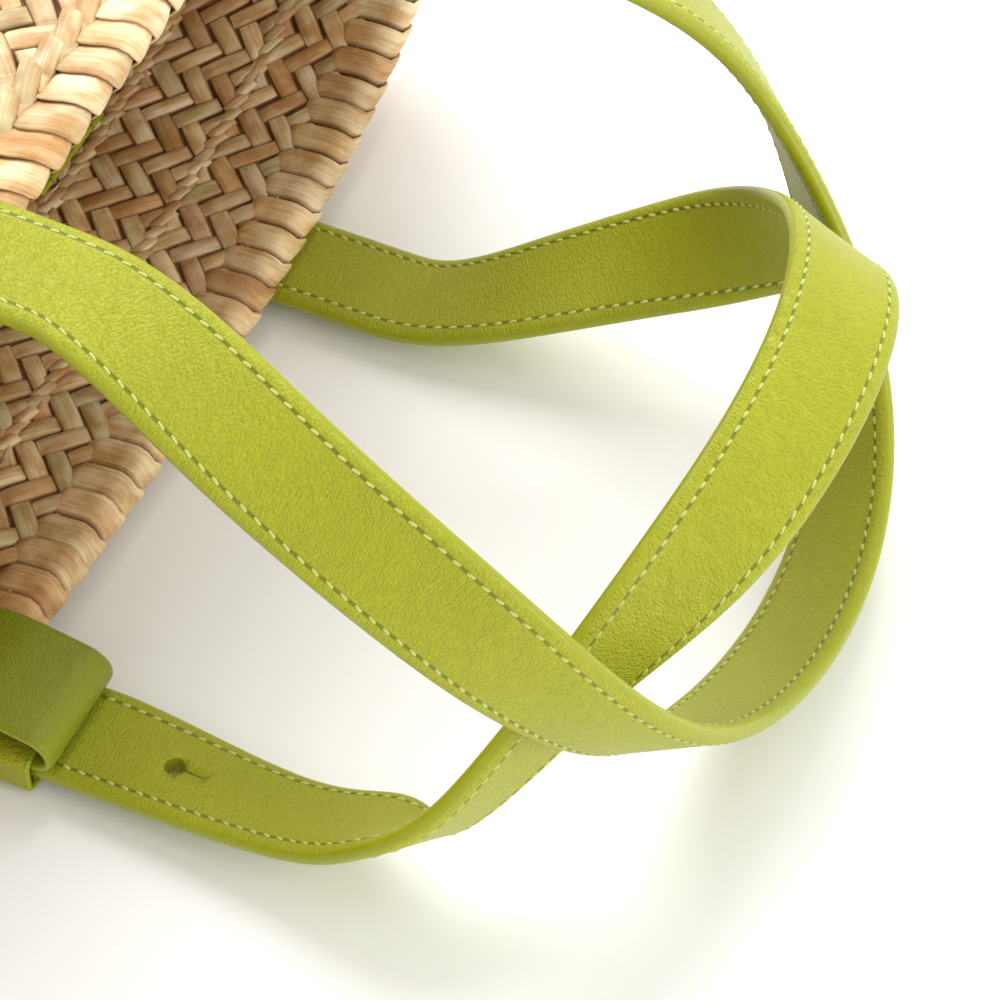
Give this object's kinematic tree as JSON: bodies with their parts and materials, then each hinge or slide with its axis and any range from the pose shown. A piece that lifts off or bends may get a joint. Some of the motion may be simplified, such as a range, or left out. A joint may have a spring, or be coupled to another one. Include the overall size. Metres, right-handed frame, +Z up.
{
  "type": "woven basket bag",
  "caption": "Woven palm-leaf basket bag lying on its back, with long looped flat leather shoulder straps, stitched and fastened at the rim by rivets and by tabs with studs.",
  "frame": {"origin": "on the floor, under the middle of the whole bag's box, the bag lying on its back wall", "axes": "+X from the base to the mouth, +Y along the mouth's width, +Z up, from the back wall to the front wall"},
  "size_m": [0.4465, 0.385, 0.1737],
  "materials": {
    "plaited_palm_leaf": "matte, plaited leaf strands",
    "rim_palm_leaf": "matte, wrapped leaf strands",
    "palm_leaf_cord": "matte, twisted leaf cord",
    "lime_leather": "pebbled grain, painted edges",
    "lining_leather": "fine grain, semi-matte",
    "reinforcement": "woven tape",
    "brass_fittings": "polished"
  },
  "bodies": {
    "basket": {"base": "plaited_palm_leaf", "wall_course_1": "plaited_palm_leaf", "wall_course_2": "plaited_palm_leaf", "wall_course_3": "plaited_palm_leaf", "wall_course_4": "plaited_palm_leaf", "wall_course_5": "plaited_palm_leaf", "wall_course_6": "plaited_palm_leaf", "wall_course_7": "plaited_palm_leaf", "wall_course_8": "plaited_palm_leaf", "lacing_cords": "palm_leaf_cord", "rim_binding": "rim_palm_leaf", "rim_knot_row": "palm_leaf_cord", "front_strap_plain_end": "lime_leather", "front_backing_patch": "lining_leather", "front_rivets": "brass_fittings", "front_burr_washers": "brass_fittings", "front_anchor_tab": "lime_leather", "front_strap_tail": "lime_leather", "front_keeper": "lime_leather", "front_stud": "brass_fittings", "front_stud_screw": "brass_fittings", "back_strap_plain_end": "lime_leather", "back_backing_patch": "lining_leather", "back_rivets": "brass_fittings", "back_burr_washers": "brass_fittings", "back_anchor_tab": "lime_leather", "back_strap_tail": "lime_leather", "back_keeper": "lime_leather", "back_stud": "brass_fittings", "back_stud_screw": "brass_fittings"},
    "front_handle": {"front_strap_outer": "lime_leather", "front_strap_reinforcement": "reinforcement", "front_strap_lining": "lining_leather"},
    "back_handle": {"back_strap_outer": "lime_leather", "back_strap_reinforcement": "reinforcement", "back_strap_lining": "lining_leather"}
  },
  "joints": [
    {"name": "front_handle_swing", "type": "hinge", "parent": "basket", "child": "front_handle", "pos_m": [0.0688, 0, 0.1664], "axis": [0, -1, 0], "range_deg": [0, 150]},
    {"name": "back_handle_swing", "type": "hinge", "parent": "basket", "child": "back_handle", "pos_m": [0.0688, 0, 0.0075], "axis": [0, -1, 0], "range_deg": [0, 30]}
  ]
}
